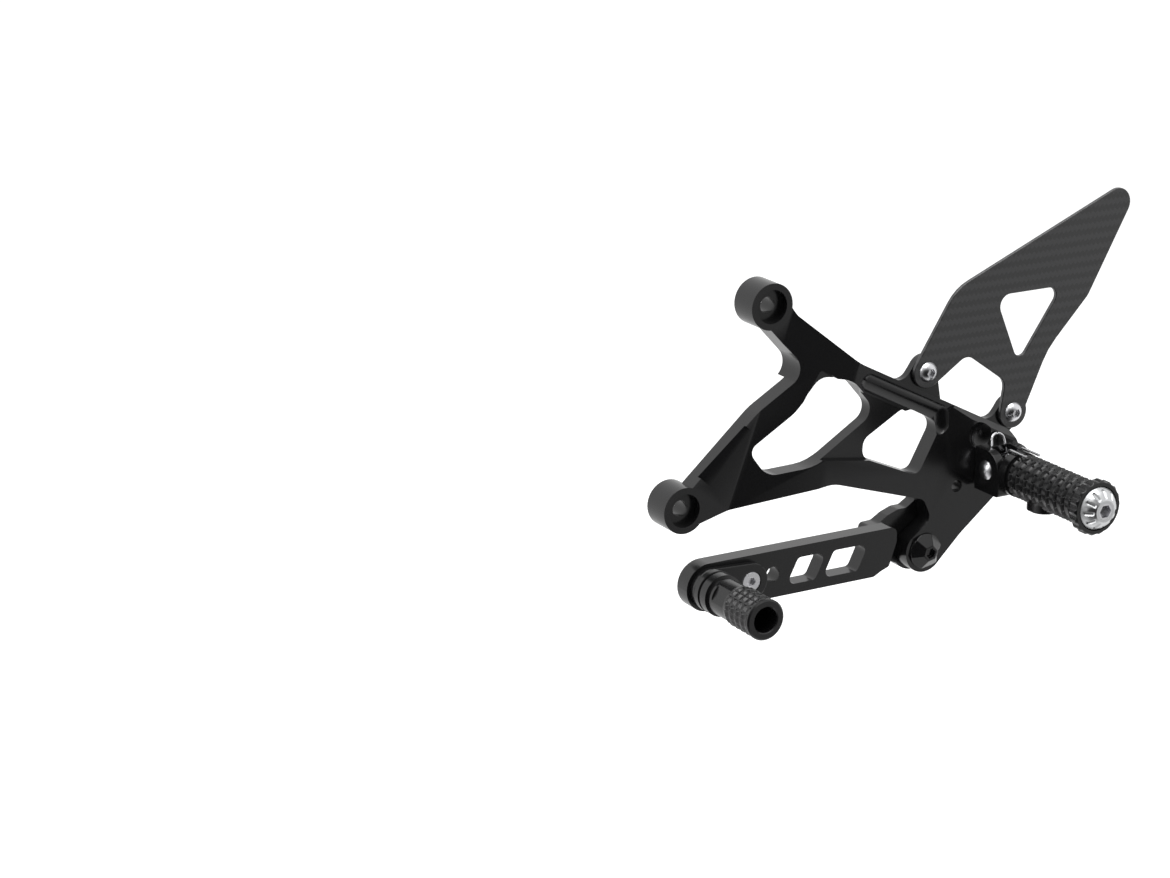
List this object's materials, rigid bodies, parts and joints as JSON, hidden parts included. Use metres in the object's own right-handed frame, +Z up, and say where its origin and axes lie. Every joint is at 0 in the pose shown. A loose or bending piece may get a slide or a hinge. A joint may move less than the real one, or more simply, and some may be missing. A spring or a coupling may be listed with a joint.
{
  "type": "rear-set footrest",
  "caption": "Gear-side motorcycle rear-set footrest: frame bracket with a heel guard, a folding knurled footpeg and a foot lever with a toe peg.",
  "frame": {"origin": "the axis of the upper frame bolt, in the plane where the bracket's bosses meet the motorcycle's frame", "axes": "+Z up, +X rearward along the motorcycle, -Y outward to the rider's foot, along the footpeg"},
  "size_m": [0.2752, 0.1175, 0.1878],
  "materials": {
    "black_anodised": "machined and black anodised, satin",
    "black_knurled": "knurled and black anodised, satin",
    "silver_aluminium": "fine machined, natural anodised",
    "carbon_weave": "carbon twill laminate under clear resin",
    "bright_steel": "bright, turned",
    "black_steel": "black oxide",
    "spring_steel": "bright drawn wire",
    "bronze": "sintered bronze, plain"
  },
  "bodies": {
    "bracket": {"bracket_plate": "black_anodised", "heel_guard": "carbon_weave", "heel_guard_screw_front": "bright_steel", "heel_guard_screw_rear": "bright_steel", "peg_clevis": "black_anodised", "clevis_bolt": "bright_steel", "clevis_washer": "bright_steel", "clevis_dowel": "bright_steel", "peg_pivot_pin": "bright_steel", "pin_circlip": "bright_steel", "peg_return_springs": "spring_steel", "lever_pivot_bolt": "black_steel", "lever_bearing_sleeve": "bright_steel", "lever_pivot_washer": "bright_steel", "lever_pivot_nut": "bright_steel"},
    "peg": {"peg_core": "black_anodised", "peg_sleeve": "black_knurled", "peg_end_cap": "silver_aluminium", "peg_cap_bolt": "bright_steel", "peg_lock_screw": "black_steel"},
    "lever": {"shift_lever": "black_anodised", "lever_bush_outer": "bronze", "lever_bush_inner": "bronze", "toe_link": "black_anodised", "toe_link_screw": "bright_steel", "toe_link_nut": "bright_steel", "toe_peg": "black_knurled", "toe_peg_bolt": "black_steel"}
  },
  "joints": [
    {"name": "peg_fold", "type": "hinge", "parent": "bracket", "child": "peg", "pos_m": [0.1285, -0.036, -0.096], "axis": [-1, 0, 0], "range_deg": [0, 75], "stiffness_Nm_per_rad": 0.15, "springref_deg": -34.38, "deforming": ["peg_return_springs"]},
    {"name": "lever_pivot", "type": "hinge", "parent": "bracket", "child": "lever", "pos_m": [0.09, -0.0102, -0.138], "axis": [0, 1, 0], "range_deg": [-10, 10]}
  ]
}
